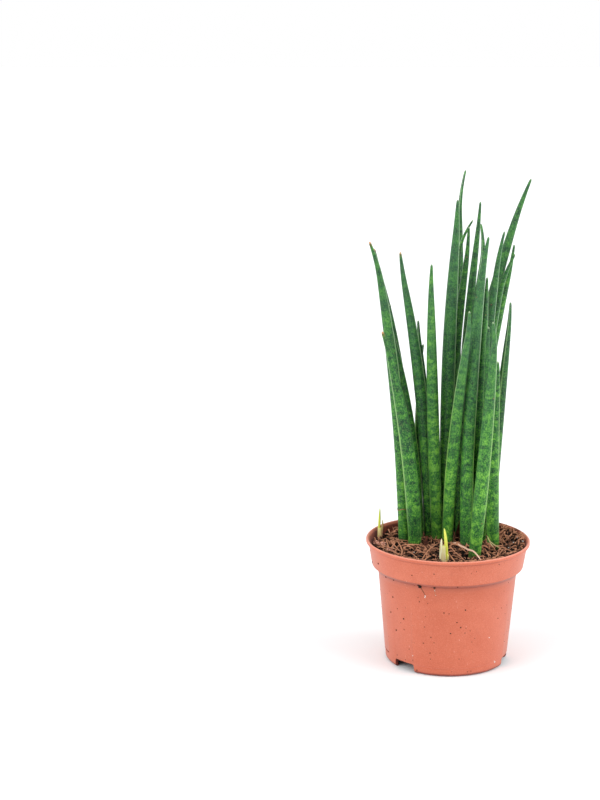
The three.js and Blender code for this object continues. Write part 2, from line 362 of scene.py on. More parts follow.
def spun(bm, steps):
    """A full turn of a chain round the Z axis, with its seam and poles closed and its faces outward."""
    chain = bm.verts[:] + bm.edges[:]
    bmesh.ops.spin(bm, geom=chain, cent=(0, 0, 0), axis=(0, 0, 1), angle=math.tau, steps=steps,
                   use_merge=True)
    bmesh.ops.remove_doubles(bm, verts=bm.verts, dist=0.002)
    bmesh.ops.recalc_face_normals(bm, faces=bm.faces)
    return bm


pot_bm = spun(rounded_chain(pot_corners), POT_STEPS)
print("pot shell:", len(pot_bm.faces), "faces")

# %% [markdown]
# Water leaves the pot through arched openings at its heel, and a narrow slit sits over one side. They are cut
# by Boolean from the finished shell, because each opening goes through a curved wall and a flat floor at once.
# Each cutter is one flat face with two rounded corners, pushed out along the pot's radius.

# %% Drain openings
Opening = namedtuple("Opening", "angle width height start rounding")

# The angle is in degrees round from the front, to the right. start is how high the opening begins.
openings = [Opening(angle, 18.6, 7.8, -1, 2.2) for angle in (-47.5, 72.5, 192.5)]
openings.append(Opening(-80, 13, 1.0, 7.4, 0.4))  # the slit
CUTTER_START = 36.5  # radius, well inside the wall
CUTTER_SEGMENTS = 5


def arched_cutter(opening):
    bm = bmesh.new()
    middle = opening.start + opening.height / 2
    bmesh.ops.create_grid(bm, x_segments=1, y_segments=1, size=0.5)
    bmesh.ops.scale(bm, vec=(opening.width, opening.height, 1), verts=bm.verts)
    bmesh.ops.rotate(bm, matrix=Matrix.Rotation(math.pi / 2, 3, "X"), verts=bm.verts)
    bmesh.ops.translate(bm, vec=(0, -CUTTER_START, middle), verts=bm.verts)
    round_off(bm, [v for v in bm.verts if v.co.z > middle], opening.rounding, CUTTER_SEGMENTS)
    pushed = bmesh.ops.extrude_face_region(bm, geom=bm.faces[:])["geom"]
    outer = [v for v in pushed if isinstance(v, bmesh.types.BMVert)]
    bmesh.ops.translate(bm, vec=(0, CUTTER_START - BEAD_RADIUS, 0), verts=outer)
    bmesh.ops.recalc_face_normals(bm, faces=bm.faces)
    bmesh.ops.rotate(bm, matrix=Matrix.Rotation(math.radians(opening.angle), 3, "Z"), verts=bm.verts)
    bmesh.ops.scale(bm, vec=(MM, MM, MM), verts=bm.verts)
    return in_scene("cutter", mesh_from(bm, "cutter"))


def cut(piece, cutters):
    """Applies one exact Boolean for each cutter, then removes the cutters."""
    for cutter in cutters:
        modifier = piece.modifiers.new(cutter.name, "BOOLEAN")
        modifier.solver = "EXACT"
        modifier.object = cutter
    made = final_mesh(piece)
    piece.modifiers.clear()
    piece.data = made
    for cutter in cutters:
        bpy.data.objects.remove(cutter)


# %% [markdown]
# The finish is the coloured plastic itself, with no paint or print on it: the colour hardly changes, but the
# surface has the fine grain of the mould, a few scuffs, soil dust and stuck specks. Painted shade darkens the
# underside of the rim band, the body below it and the crease under the bead, and a painted highlight lightens
# the top of the bead. The inner wall is stained where wet soil touched it. Radius and height on the object tell
# the inside from the outside.

# %% Plastic finish
plastic = new_finish("terracotta_plastic")
pot_place = object_place(plastic)
pot_level = parts_of(plastic, pot_place)[2]
flat_place = stretched(plastic, pot_place, (1, 1, 0))
pot_radius = add(plastic, "ShaderNodeVectorMath", [(0, flat_place)], operation="LENGTH").outputs["Value"]
inner_wall = chained(plastic, pot_level, [
    (7, 44.7), (66.5, 50.2), (72.4, 55.0), (BEAD_FOOT, 57.6), (POT_HEIGHT, 57.9),
])
inside = stepped(plastic, maths(plastic, "SUBTRACT", pot_radius, inner_wall), 0.1, -0.25)
grain = cloudy(plastic, pot_place, 1.6, 4, 0.65)
blotch = cloudy(plastic, pot_place, 0.05, 3, 0.6)
clouded = cloudy(plastic, pot_place, 0.4, 3, 0.6)
upright = stretched(plastic, pot_place, (1, 1, 0.25))
# painted shade: darker under the rim band and down the body below it, and in the crease under the bead
painted_shade_under_band = chained(plastic, pot_level, [(54, 0.1), (66, 0.25), (70, 0.75), (72.0, 0.75), (72.5, 0)])
painted_shade_under_bead = chained(plastic, pot_level, [
    (BEAD_FOOT - 1.5, 0), (BEAD_FOOT - 0.4, 0.55), (BEAD_FOOT + 0.1, 0.55), (BEAD_FOOT + 0.4, 0),
])
dust_and_painted_shade = stepped(plastic, cloudy(plastic, upright, 0.16, 6, 0.7), 0.56, 0.8, 0, 0.35)
# the real dust in cloudy patches, joined with the painted shade under the band and the bead
dust_and_painted_shade = maths(plastic, "MAXIMUM", dust_and_painted_shade, plus(plastic, painted_shade_under_band, painted_shade_under_bead))
# painted highlight: the top of the bead is lighter
painted_crest_highlight = chained(plastic, pot_level, [(POT_HEIGHT - 1, 0), (POT_HEIGHT - 0.2, 0.6)])
scuffs = times(plastic, stepped(plastic, cloudy(plastic, upright, 0.9, 3, 0.6), 0.66, 0.74),
               stepped(plastic, blotch, 0.5, 0.6))
dark_dots = times(plastic, dots(plastic, pot_place, 0.16, 0.07),
                  stepped(plastic, cloudy(plastic, pot_place, 0.05, 1), 0.42, 0.55))
stain = cloudy(plastic, pot_place, 0.35, 5, 0.7)
pot_colour = layered(plastic, ramp(plastic, blotch, [(0.3, (187, 91, 61)), (0.7, (195, 101, 72))]), [
    (stepped(plastic, grain, 0.45, 0.7, 0, 0.5), (210, 133, 108)),
    (stepped(plastic, grain, 0.5, 0.3, 0, 0.45), (166, 80, 56)),
    (stepped(plastic, clouded, 0.5, 0.75, 0, 0.3), (170, 86, 62)),
    # soil dust, with the painted shade under the band and the bead
    (dust_and_painted_shade, (148, 60, 32)),
    # painted highlight along the top of the bead
    (painted_crest_highlight, (224, 146, 124)),
    (times(plastic, scuffs, 0.5), (222, 170, 154)),
    (times(plastic, dark_dots, 0.65), (92, 50, 36)),
    (inside, ramp(plastic, stain, [(0.35, (98, 34, 24)), (0.7, (158, 66, 46))])),
])
set_surface(plastic, pot_colour, stepped(plastic, grain, 0.2, 0.8, 0.42, 0.6), 0.4, 0.15, 0.5)
raise_surface(plastic, plus(plastic, grain, times(plastic, blotch, 2)), 0.05)
print("plastic:", len(plastic.node_tree.nodes), "nodes")

# %% Pot piece
pot = piece_from(pot_bm, "pot_shell", plastic, ["pot"])
cut(pot, [arched_cutter(opening) for opening in openings])
pot_edge = pot.modifiers.new("softened_edges", "BEVEL")
pot_edge.width = 0.2 * MM
pot_edge.segments = 2
pot_edge.limit_method = "ANGLE"
pot_edge.angle_limit = math.radians(50)
print("pot:", len(pot.data.polygons), "faces after the openings are cut")


# %% [markdown]
# ## The leaves
# Each leaf is a solid, tapering rod with a channel on one side. Beside each of the two lips runs a pale line,
# partly a paler margin and partly a painted highlight.
# Every leaf leans and bends a little differently, so the table below gives each one its own line. A rod could be
# made by sweeping a curve, but a curve's section can't change from a plain round foot to a channelled tip. Here
# a cylinder is cut into rings, and each ring is moved to its place on the leaf's own line.

# %% Leaf table
Leaf = namedtuple("Leaf", "root tip bow hook width faces tone bloom dry")

# root (x, y) and tip (x, y, z) in mm, bow sideways at mid length, hook at the tip, diameter, the way that the
# channel faces in degrees from +X, and three looks from 0 to 1: how light the green is, how much grey wax it
# has, and how withered its tip is.
leaves = [
    Leaf((-31, 18), (-55.5, 24, 307), (5, 0), (-3, 0), 9, 20, 0.45, 0.4, 1.0),
    Leaf((-28, 36), (-55, 48, 299), (8.5, 0), (1, 0), 8.5, 35, 0.3, 0.5, 0.9),
    Leaf((-23.4, 9), (-49, -4, 246), (4.8, 0), (-1, 0), 10.8, 158, 0.38, 0.25, 0.9),
    Leaf((-20.5, 25), (-47.5, 32, 260), (6, 0), (5, 0), 9, 25, 0.35, 0.5, 0.2),
    Leaf((-11, 29), (-37.5, 24, 299.5), (5, 0), (1.4, 0), 9, 24, 0.4, 0.6, 0.8),
    Leaf((-12, 38.5), (-22, 44, 246), (3, 0), (1, 0), 8, 300, 0.3, 0.5, 0.1),
    Leaf((-6, 20.5), (-14.5, 13, 292), (-1, 0), (0.5, 0), 9, 80, 0.78, 0.5, 0.1),
    Leaf((2, 28.5), (6, 26, 337), (-3.5, 0), (-1, 0), 10, 20, 0.42, 0.6, 0.1),
    Leaf((1, 13), (14.5, 0, 260), (-3, 0), (-2, 0), 9, 150, 0.68, 0.8, 0.3),
    Leaf((-4, 45), (8.5, 62, 355.5), (7, 2), (5.3, 0), 5.8, 200, 0.3, 0.4, 0.0),
    Leaf((10.5, 37.5), (8.5, 50, 320), (-1, 2), (10.5, 0), 6.4, 170, 0.45, 0.3, 0.4),
    Leaf((2, 38.5), (16, 32, 317), (-4.2, 0.8), (-2, 0), 7.6, 100, 0.5, 0.3, 0.2),
    Leaf((11, 27), (24.5, 46, 333.7), (-4, 2.5), (-1, 0), 7.2, 60, 0.35, 0.4, 0.0),
    Leaf((19, 20), (27.5, 27, 319.6), (-6.5, 0), (-5.4, 0), 7.4, 190, 0.35, 0.4, 0.0),
    Leaf((14, 6), (25.5, 12, 312), (-4, 0), (1, 0), 9.4, 22, 0.46, 0.7, 0.0),
    Leaf((26, 28), (26.5, 13, 282.6), (-2, 0), (-0.4, 0), 8.2, 22, 0.4, 0.4, 0.1),
    Leaf((18, -18), (29.6, -22, 256), (0.6, 0), (-2.6, 0), 9.8, 18, 0.6, 0.7, 0.2),
    Leaf((25.5, 12.5), (26, 4, 248), (2, 0), (1, 0), 8, 140, 0.45, 0.5, 0.2),
    Leaf((34, 4), (34.5, -2, 224), (-2, 0), (-1, 0), 9.6, 26, 0.5, 0.3, 0.4),
    Leaf((32.5, 22), (46, 26, 262.4), (-1, 0), (-1, 0), 8, 200, 0.25, 0.5, 0.0),
    Leaf((28.5, 37.5), (45, 39, 296), (-8.5, 2), (4, 0), 7.4, 24, 0.4, 0.4, 0.0),
    Leaf((17.5, 43.5), (52.5, 60, 300.5), (-4.5, 0), (-1.7, 0), 7.4, 150, 0.5, 0.3, 0.0),
    Leaf((18.5, 33.5), (37.5, 27, 314), (-1.5, 0), (2, 0), 7.4, 20, 0.35, 0.6, 0.0),
    Leaf((8, 45.5), (61.8, 67.8, 348.6), (-9.5, 0), (1.4, 0), 8.8, 120, 0.45, 0.4, 0.1),
    Leaf((-20, 42), (-18, 54, 226), (0, 0), (2, 2), 8.5, 260, 0.35, 0.5, 0.1),
]
print("leaves:", len(leaves))

# %% Leaf form
SOIL_LEVEL = 83  # where each leaf's line starts
ROOT_DEPTH = 10
LEAF_TAPER = 130
FOOT_LENGTH = 40  # a leaf is a tenth thinner where it leaves the soil, and full this far up
HOOK_START = 0.87
TIP_RADIUS = 0.65
BLUNT_LENGTH = 8
CLOSING_LENGTH = 1.2

# Angles round the leaf are in radians from the middle of its channel, heights are shares of the radius.
CHANNEL_WIDTH = 0.36
LIP_ANGLE = 0.66
LIP_WIDTH = 0.16
LIP_HEIGHT = 0.04
# the pale line is partly a paler margin and partly a painted highlight
PALE_ANGLE = 0.76  # the pale line runs just outside the lip
PALE_WIDTH = 0.14
RIBS = 11
RIB_HEIGHT = 0.008


def bell(distance):
    """1 at distance 0, falling smoothly to nearly 0 at 2."""
    return math.exp(-(distance ** 2))


def leaf_centre(leaf, t):
    bend = 4 * t * (1 - t)
    curl = max(0, (t - HOOK_START) / (1 - HOOK_START)) ** 2
    x, y = [root + (tip - root) * t + bow * bend + hook * curl
            for root, tip, bow, hook in zip(leaf.root, leaf.tip, leaf.bow, leaf.hook)]
    return Vector((x, y, SOIL_LEVEL + (leaf.tip[2] - SOIL_LEVEL) * t))


def leaf_radius(leaf, t):
    """Half the leaf's thickness: it narrows slowly and ends in a small, round, blunt tip."""
    length = leaf.tip[2] - SOIL_LEVEL
    to_tip = max(0, (1 - t) * length)
    u = clamped(to_tip / LEAF_TAPER)
    foot = 0.9 + 0.1 * clamped(t * length / FOOT_LENGTH)
    radius = leaf.width / 2 * foot * (u * (2 - u)) ** 0.68 + TIP_RADIUS * math.exp(-to_tip / BLUNT_LENGTH)
    return max(0.1, radius * math.sqrt(clamped(to_tip / CLOSING_LENGTH)))


def leaf_section(angle, t):
    """How far the skin is from the middle, as a share of the radius: a channel, two lips and faint ribs."""
    depth = 0.2 + 0.2 * clamped(t)
    channel = depth * bell(angle / CHANNEL_WIDTH)
    lips = LIP_HEIGHT * bell((abs(angle) - LIP_ANGLE) / LIP_WIDTH)
    return 1 - channel + lips + RIB_HEIGHT * math.cos(RIBS * angle)


# %% [markdown]
# The pattern on a leaf follows the leaf and not the room, so each vertex keeps where it would be if the leaf
# stood straight, in the attribute "grain". Others hold its height, how close it is to a lip, how far it is from
# the tip and the leaf's three looks. The finish reads them all, so 25 leaves share one finish and still differ.

# %% Leaf mesh
LEAF_SIDES = 36
LEAF_RINGS = 72
RING_CROWDING = 1.35  # rings lie closer towards the tip
SIDE_CROWDING = 0.5  # sides lie closer in the channel
PATTERN_SHIFT = (31, 7)  # mm across and up from one leaf to the next, so that no two look alike


def rod(sides, rings):
    """A closed upright cylinder of radius 1 and length 1 round the origin, cut into rings."""
    bm = bmesh.new()
    bmesh.ops.create_cone(bm, cap_ends=True, segments=sides, radius1=1, radius2=1, depth=1)
    upright = [e for e in bm.edges if abs(e.verts[0].co.z - e.verts[1].co.z) > 0.5]
    bmesh.ops.subdivide_edges(bm, edges=upright, cuts=rings - 1)
    return bm


def leaf_mesh(leaf, number):
    """A rod bent to the leaf's line, with its top ring drawn to a point."""
    bm = rod(LEAF_SIDES, LEAF_RINGS)
    vectors, numbers = bm.verts.layers.float_vector, bm.verts.layers.float
    grain_layer, look_layer = [vectors.new(name) for name in ("grain", "look")]
    pale_lip_highlight_layer, tip_layer, height_layer = [numbers.new(name) for name in ("pale_lip_and_highlight", "to_tip", "height")]
    length = leaf.tip[2] - SOIL_LEVEL
    start = -ROOT_DEPTH / length
    facing = direction(math.radians(leaf.faces)).to_3d()
    tip_ring = [v for v in bm.verts if v.co.z > 0.499]
    for v in bm.verts:
        share = clamped(v.co.z + 0.5)
        t = start + (1 - start) * (1 - (1 - share) ** RING_CROWDING)
        turned = math.atan2(v.co.y, v.co.x)
        angle = turned - SIDE_CROWDING * math.sin(turned)
        up = (leaf_centre(leaf, t + 0.01) - leaf_centre(leaf, t - 0.01)).normalized()
        across = up.cross(facing).normalized()
        out = across.cross(up)
        radius = leaf_radius(leaf, t) * leaf_section(angle, t)
        x, y = radius * math.cos(angle), radius * math.sin(angle)
        v.co = leaf_centre(leaf, t) + out * x + across * y
        v[grain_layer] = (x + PATTERN_SHIFT[0] * number, y, t * length + PATTERN_SHIFT[1] * number)
        v[look_layer] = (leaf.tone, leaf.bloom, leaf.dry)
        v[pale_lip_highlight_layer] = bell((abs(angle) - PALE_ANGLE) / PALE_WIDTH)
        v[tip_layer] = (1 - t) * length
        v[height_layer] = t * length
    bmesh.ops.pointmerge(bm, verts=tip_ring, merge_co=leaf_centre(leaf, 1))
    return bm


# %% [markdown]
# The leaf's skin is dark green with lighter cross-bands, which are broken into small mottles. Higher up, a thin
# grey wax covers the bands. A pale line runs by each lip, partly a paler margin and partly a painted highlight,
# and the last few millimetres of the tip are dry. One stretched noise gives the bands, finer ones give the
# mottles, and each layer is mixed over the one before.

# %% Leaf finish
skin = new_finish("leaf_skin")
skin_place = attribute(skin, "grain", "Vector")
tone, bloom, dryness = parts_of(skin, attribute(skin, "look", "Vector"))
height, to_tip = attribute(skin, "height"), attribute(skin, "to_tip")


def skin_pattern(across, along, *settings):
    """A noise with its own scale across the leaf and along it. settings are the rest of what cloudy takes."""
    return cloudy(skin, stretched(skin, skin_place, (across, across, along)), 1, *settings)


bands = skin_pattern(0.09, 0.2, 1, 0.5, 0.7)
patches = skin_pattern(0.36, 0.34, 2)
mottle = skin_pattern(0.8, 0.75, 3, 0.65)
fleck = skin_pattern(1.2, 1.0, 2, 0.6)
ribs = skin_pattern(2.4, 0.05, 2)

green = plus(skin, stepped(skin, bands, 0.36, 0.64, 0, 0.32), stepped(skin, patches, 0.3, 0.7, 0, 0.22))
green = plus(skin, green, stepped(skin, mottle, 0.3, 0.7, 0, 0.42))
green = plus(skin, green, times(skin, maths(skin, "SUBTRACT", tone, 0.5), 0.5))
green = plus(skin, green, stepped(skin, height, 110, 25, 0, 0.13))
wax = times(skin, stepped(skin, height, 50, 180), bloom)
wax = times(skin, wax, stepped(skin, mottle, 0.35, 0.65, 0.35, 1.0))
# a paler margin with a painted highlight: a pale line beside each lip, fainter low down
pale_lip_and_highlight = times(skin, attribute(skin, "pale_lip_and_highlight"), stepped(skin, height, 2, 60, 0.15, 0.85))
pale_lip_and_highlight = times(skin, pale_lip_and_highlight, stepped(skin, mottle, 0.25, 0.55, 0.5, 1.0))
pale_lip_highlight_colour = mixed(skin, stepped(skin, height, 70, 180), (148, 196, 96), (164, 196, 156))
dried = stepped(skin, dryness, 0.4, 1.0)
withered = times(skin, stepped(skin, to_tip, 5, 1.6, 0, 0.6), dried)
tip_share = times(skin, stepped(skin, to_tip, 1.9, 0.9), stepped(skin, dryness, 0.0, 0.4, 0.25, 1.0))
tip_colour = mixed(skin, dried, (150, 172, 132), (196, 142, 98))
scars = times(skin, dots(skin, skin_place, 0.085, 0.05), 0.8)
# darker and browner over the last few millimetres above the soil
darker_near_soil = stepped(skin, plus(skin, height, times(skin, mottle, 9)), 10, 4.5, 0, 0.7)
plain_green = ramp(skin, green, [
    (0.12, (9, 48, 30)), (0.4, (28, 87, 36)), (0.65, (57, 124, 40)), (0.95, (114, 176, 60)),
])
leaf_colour = layered(skin, plain_green, [
    (stepped(skin, fleck, 0.5, 0.64, 0, 0.4), (116, 168, 74)),
    (stepped(skin, fleck, 0.48, 0.34, 0, 0.45), (10, 44, 24)),
    (wax, (56, 98, 70)),
    (pale_lip_and_highlight, pale_lip_highlight_colour),
    (withered, (120, 84, 46)),
    (tip_share, tip_colour),
    (scars, (134, 88, 60)),
    (darker_near_soil, (58, 44, 28)),
])
set_surface(skin, leaf_colour, stepped(skin, mottle, 0.2, 0.8, 0.4, 0.56), 0.3, 0.12, 0.35)
raise_surface(skin, plus(skin, ribs, times(skin, fleck, 0.6)), 0.07)
print("leaf skin:", len(skin.node_tree.nodes), "nodes")

# %% Leaf pieces
for number, leaf in enumerate(leaves, 1):
    node = f"leaf_{number:02d}"
    piece = piece_from(leaf_mesh(leaf, number), "fine_" + node, skin, [node])
print("leaf mesh:", len(piece.data.polygons), "faces each")


# %% [markdown]
# ## The soil
# The mix is peat and coconut fibre. From a step away it is a dark, uneven bed under a tangle of curved strands,
# and no bump could give the deep gaps between them. The bed is a spun outline whose top is pushed up and down
# by noise. It is banked up along the wall, heaped at the back right, and sunk in a few hollows.

# %% Soil form
SOIL_BANK = 3.7
BANK_START = 36
BANK_WIDTH = 20
HEAP_HEIGHT = 4.2
WAVE_HEIGHT = 0.45
SOIL_EDGE = 55.6
GAP_START = 52.5  # the mix has drawn back from the wall from here out
GAP_WIDTH = 2.5
SHRUNK_SIDE = math.radians(232)  # most of all at the front left
BED_STEPS = 150
BED_RINGS = 56
BED_SINK = 2.6  # the bed lies this far below the strands' own level

# Round places on the soil as (x, y, spread), with the spread in square mm, all at the back right.
HEAPED = (50, 26, 900)
FULL = (48, 22, 500)  # no chance hollows lie here
# painted light: strands round this place are made lighter
PAINTED_LIGHT_PLACE = (46, 26, 450)

# Places (x, y, radius) where the mix has sunk and few strands lie.
HOLLOWS = ((-32, -25, 5), (-25, -16, 3), (-13, -31, 5), (-54, 9, 3), (0, -25, 3), (-46, -18, 3),
           (-25, 3, 3.2), (15, -24.5, 3.5), (34, -4, 4.5), (42, -22, 3))


def nearness(x, y, place):
    """1 in the middle of a round place, falling to 0 around it."""
    return math.exp(-((x - place[0]) ** 2 + (y - place[1]) ** 2) / place[2])


def soil_top(x, y):
    """Height of the soil: banked up along the wall and heaped at the back right rim."""
    to_wall = clamped((math.hypot(x, y) - BANK_START) / BANK_WIDTH)
    bank = to_wall * to_wall * (3 - 2 * to_wall) * (SOIL_BANK - 0.02 * y)
    heap = HEAP_HEIGHT * nearness(x, y, HEAPED)
    waves = math.sin(x / 4.1 + 1.3) * math.cos(y / 3.7) + math.sin((x + y) / 6.3 + 0.4)
    return SOIL_LEVEL + 0.012 * x + bank + heap + WAVE_HEIGHT * waves


def hollow(x, y):
    """How far the soil has sunk here, from 0 to 1."""
    nearest = max(nearness(x, y, (hx, hy, radius ** 2)) for hx, hy, radius in HOLLOWS)
    scattered = (noise.noise(Vector((x * 0.13, y * 0.13, 3.7))) - 0.12) / 0.3
    return max(nearest, clamped(scattered) * (1 - nearness(x, y, FULL)))


def shrunk(turn):
    """How far the mix has drawn back from the wall, from 0 to 1."""
    return max(0, math.cos(turn - SHRUNK_SIDE))


print("soil level:", round(soil_top(0, 0), 1), "mm in the middle,", round(soil_top(0, -52), 1), "at the wall")


# %% Soil bed
def soil_bed():
    # Up the inside of the pot, then over the top to the middle.
    outline = [(0, 1.6, 0), (12.6, 1.6, 0), (14.6, 4.8, 0), (42.0, 4.8, 0), (43.7, 7, 0),
               (49.2, 66.8, 0), (53.6, 72.2, 0), (SOIL_EDGE, 81, 0)]
    outline += [(SOIL_EDGE * (1 - i / BED_RINGS), SOIL_LEVEL, 0) for i in range(BED_RINGS + 1)]
    bm = spun(rounded_chain(outline), BED_STEPS)
    shade_layer = bm.verts.layers.float.new("shade")
    for v in bm.verts:
        v[shade_layer] = 0.35 + 0.4 * noise.noise(v.co * 0.4)
        if v.co.z > SOIL_LEVEL - 0.01:
            lumps = noise.noise(v.co * 0.22) * 1.2 + noise.noise(v.co * 0.6) * 1.0
            edge = clamped((v.co.xy.length - GAP_START) / GAP_WIDTH)
            gap = edge * (0.3 + 2.4 * shrunk(math.atan2(v.co.y, v.co.x)))
            sunk = gap + 2.2 * hollow(v.co.x, v.co.y)
            v.co.z = soil_top(v.co.x, v.co.y) - BED_SINK - sunk + lumps
    return bm


# %% [markdown]
# The fibre is reddish brown, and some strands are lighter than others. One recipe serves the bed, the strands
# and every scrap: it takes three colours and a shade from 0 to 1 that each piece carries along its mesh, and
# noise breaks that shade up.

# %% Fibre finish
def fibre_finish(name, dark, middle, light):
    finish = new_finish(name)
    place = object_place(finish)
    streaks = cloudy(finish, place, 0.5, 4, 0.65)
    shade = plus(finish, attribute(finish, "shade"), times(finish, streaks, 0.5))
    tint = ramp(finish, maths(finish, "SUBTRACT", shade, 0.25), [(0.05, dark), (0.5, middle), (0.95, light)])
    set_surface(finish, tint, stepped(finish, streaks, 0.3, 0.7, 0.75, 0.95), 0.3)
    raise_surface(finish, cloudy(finish, place, 3.0, 3), 0.12)
    return finish


peat = fibre_finish("peat_bed", (16, 10, 7), (50, 32, 24), (98, 64, 48))
coir = fibre_finish("coir_fibre", (18, 11, 7), (80, 50, 34), (184, 128, 98))
bed = piece_from(soil_bed(), "soil_bed", peat, ["soil"])
print("soil bed:", len(bed.data.polygons), "faces")

# %% [markdown]
# The strands lie in layers, from those low in the mix to fine ones on top, and painted shade makes each strand
# darker the deeper it lies. Each is a walk of a few steps that turns a little at every step, dives at its ends,
# and keeps clear of the leaves and the wall. One source of random numbers with a fixed seed draws them all, so
# every run gives the same soil.

# %% Strand layers
Layer = namedtuple("Layer", "name count length thickness curl level arch tilt shade")

# How many strands, their length and thickness in mm, how much they curl, how far they lie over the soil's
# level, how high their middle arches, how steep they lie, and their shade from 0 (dark) to 1.
layers = [
    # the lowest layer has dark shades: painted shade for where it lies deep
    Layer("coir_under", 560, (5, 12), 1.0, 0.15, (-2.8, -1.4), 0.8, 0.6, (0.2, 0.55)),
    Layer("coir_chips", 520, (2.5, 6), 1.5, 0.1, (-2.0, 1.0), 0.5, 3.0, (0.0, 1.0)),
    Layer("coir_over", 480, (3.5, 8), 1.0, 0.16, (-1.4, 1.2), 1.2, 2.6, (0.0, 1.25)),
    Layer("coir_fine", 480, (4, 9), 0.6, 0.25, (-1.2, 1.4), 1.2, 2.2, (0.1, 1.15)),
    Layer("coir_loops", 26, (18, 30), 0.7, 0.1, (-1.2, 0.2), 3.4, 0.5, (0.4, 0.8)),
]
# In the collars, the count is for each leaf.
collars = Layer("coir_collars", 6, (6, 12), 0.9, 0.15, (-0.6, 1.4), 1.4, 1.2, (0.2, 0.9))
LEANERS = 4  # strands that lean on each leaf's foot
rng = random.Random(SEED)
leaf_feet = [(leaf_centre(leaf, 0).xy, leaf.width * 0.47) for leaf in leaves]
print("strands scattered:", sum(layer.count for layer in layers))

# %% Where strands may lie
STRAND_POINTS = 7
STRAND_REACH = 56
STRAND_GAP = 1.8  # the widest gap that strands leave along the wall
HOLLOW_SHARE = 0.85  # this share of the strands that would lie in a hollow is left out
WALL_DIVE = 0.9
COLLAR_LEAD = 5


def clear_of_leaves(place):
    """Moves a point on the soil out of any leaf that it falls in."""
    for foot, radius in leaf_feet:
        offset = place - foot
        if offset.length < radius:
            place = foot + offset.normalized() * radius
    return place


def strand_reach(turn):
    """How far out strands lie: they leave a dark gap along the wall where the mix has drawn back."""
    return STRAND_REACH - STRAND_GAP * shrunk(turn)


def scattered_place():
    """A place on the soil, seldom in a hollow."""
    while True:
        turn = rng.uniform(0, math.tau)
        reach = strand_reach(turn) * math.sqrt(rng.random())
        place = Vector((reach * math.cos(turn), reach * math.sin(turn)))
        if rng.random() > HOLLOW_SHARE * hollow(*place):
            return place


# %% Strand lines
def strand_path(layer, place, heading):
    """A wandering line over the soil that rises a little and dives back in at its ends."""
    bend = rng.gauss(0, layer.curl)
    level = rng.uniform(*layer.level)
    tilt = rng.gauss(0, layer.tilt)
    step = rng.uniform(*layer.length) / (STRAND_POINTS - 1)
    dive = 0
    path = []
    for i in range(STRAND_POINTS):
        share = i / (STRAND_POINTS - 1)
        place = place + direction(heading) * step
        heading += bend + rng.gauss(0, layer.curl * 0.4)
        furthest = strand_reach(math.atan2(place.y, place.x))
        if place.length > furthest:
            place = place * (furthest / place.length)
            step, dive = 0, WALL_DIVE  # where it meets the wall it can only go down
        level -= dive
        place = clear_of_leaves(place)
        arch = layer.arch * math.sin(math.pi * share) - 0.5
        path.append((place.x, place.y, soil_top(place.x, place.y) + level + arch + tilt * (share - 0.5)))
    return path


def collar_path(foot, radius):
    """A strand that brushes past a leaf's foot, so that no leaf stands in a clean ring of soil."""
    turn = rng.uniform(0, math.tau)
    heading = turn + math.pi / 2 + rng.gauss(0, 0.4)
    start = foot + direction(turn) * (radius + rng.uniform(0.3, 2.2)) - direction(heading) * COLLAR_LEAD
    return strand_path(collars, start, heading)


def leaning_path(foot, radius):
    """A strand that comes out of the soil beside a leaf and leans on it."""
    turn = rng.uniform(0, math.tau)
    swing = rng.gauss(0, 0.8)
    low, high = rng.uniform(2.5, 5), rng.uniform(0.8, 5)
    path = []
    for i in range(STRAND_POINTS):
        share = i / (STRAND_POINTS - 1)
        reach = radius + 0.35 + low * (1 - share) ** 1.5
        place = foot + direction(turn + swing * share) * reach
        path.append((*place, soil_top(*place) - 1.6 + (high + 1.6) * share))
    return path


# %% [markdown]
# A strand could be swept as a mesh, ring by ring. A curve with a little thickness does the same with far less
# work, so all strands of a layer are splines of one curve. It is turned into a mesh, its tubes are closed, and
# each tube takes its strand's shade.

# %% Strand pieces
TUBE_SIDES = 4


def strand_piece(name, paths, thickness, shades, finish, painted_depth_shade=0.0):
    """Many strands as one curve with a round bevel, turned into a mesh. Each strand keeps one shade.

    The last argument paints light and shade by depth: it makes a strand lighter for each mm over the soil's
    level, and darker under it."""
    curve = bpy.data.curves.new(name, "CURVE")
    curve.dimensions = "3D"
    curve.bevel_depth = thickness / 2
    curve.bevel_resolution = 0
    for path in paths:
        spline = curve.splines.new("POLY")
        spline.points.add(len(path) - 1)
        girth = rng.uniform(0.7, 1.25)
        for i, (point, at) in enumerate(zip(spline.points, path)):
            share = i / (len(path) - 1)
            point.co = (*at, 1)
            point.radius = girth * (0.35 + 0.65 * max(0, math.sin(math.pi * share)) ** 0.5)
    holder = in_scene(name + "_curve", curve)
    tubes = final_mesh(holder)
    bpy.data.objects.remove(holder)
    bm = bmesh.new()
    bm.from_mesh(tubes)
    bpy.data.meshes.remove(tubes)
    shade_layer = bm.verts.layers.float.new("shade")
    owners = [i for i, path in enumerate(paths) for _ in range(TUBE_SIDES * len(path))]
    for v in bm.verts:
        v[shade_layer] = shades[owners[v.index]] + painted_depth_shade * (v.co.z - soil_top(v.co.x, v.co.y))
    bmesh.ops.holes_fill(bm, edges=[e for e in bm.edges if e.is_boundary], sides=TUBE_SIDES)
    bmesh.ops.recalc_face_normals(bm, faces=bm.faces)
    return piece_from(bm, name, finish)


def shade_of(layer, path):
    """Painted light: strands are lighter towards the back, most of all at the back right, where the leaves and
    the rim shade them.
    """
    x, y, _ = path[len(path) // 2]
    # painted light, rising towards the back and strongest at the back right
    dry = 0.14 * clamped((y + 10) / 40) + 0.8 * nearness(x, y, PAINTED_LIGHT_PLACE)
    return rng.uniform(*layer.shade) - 0.22 + dry


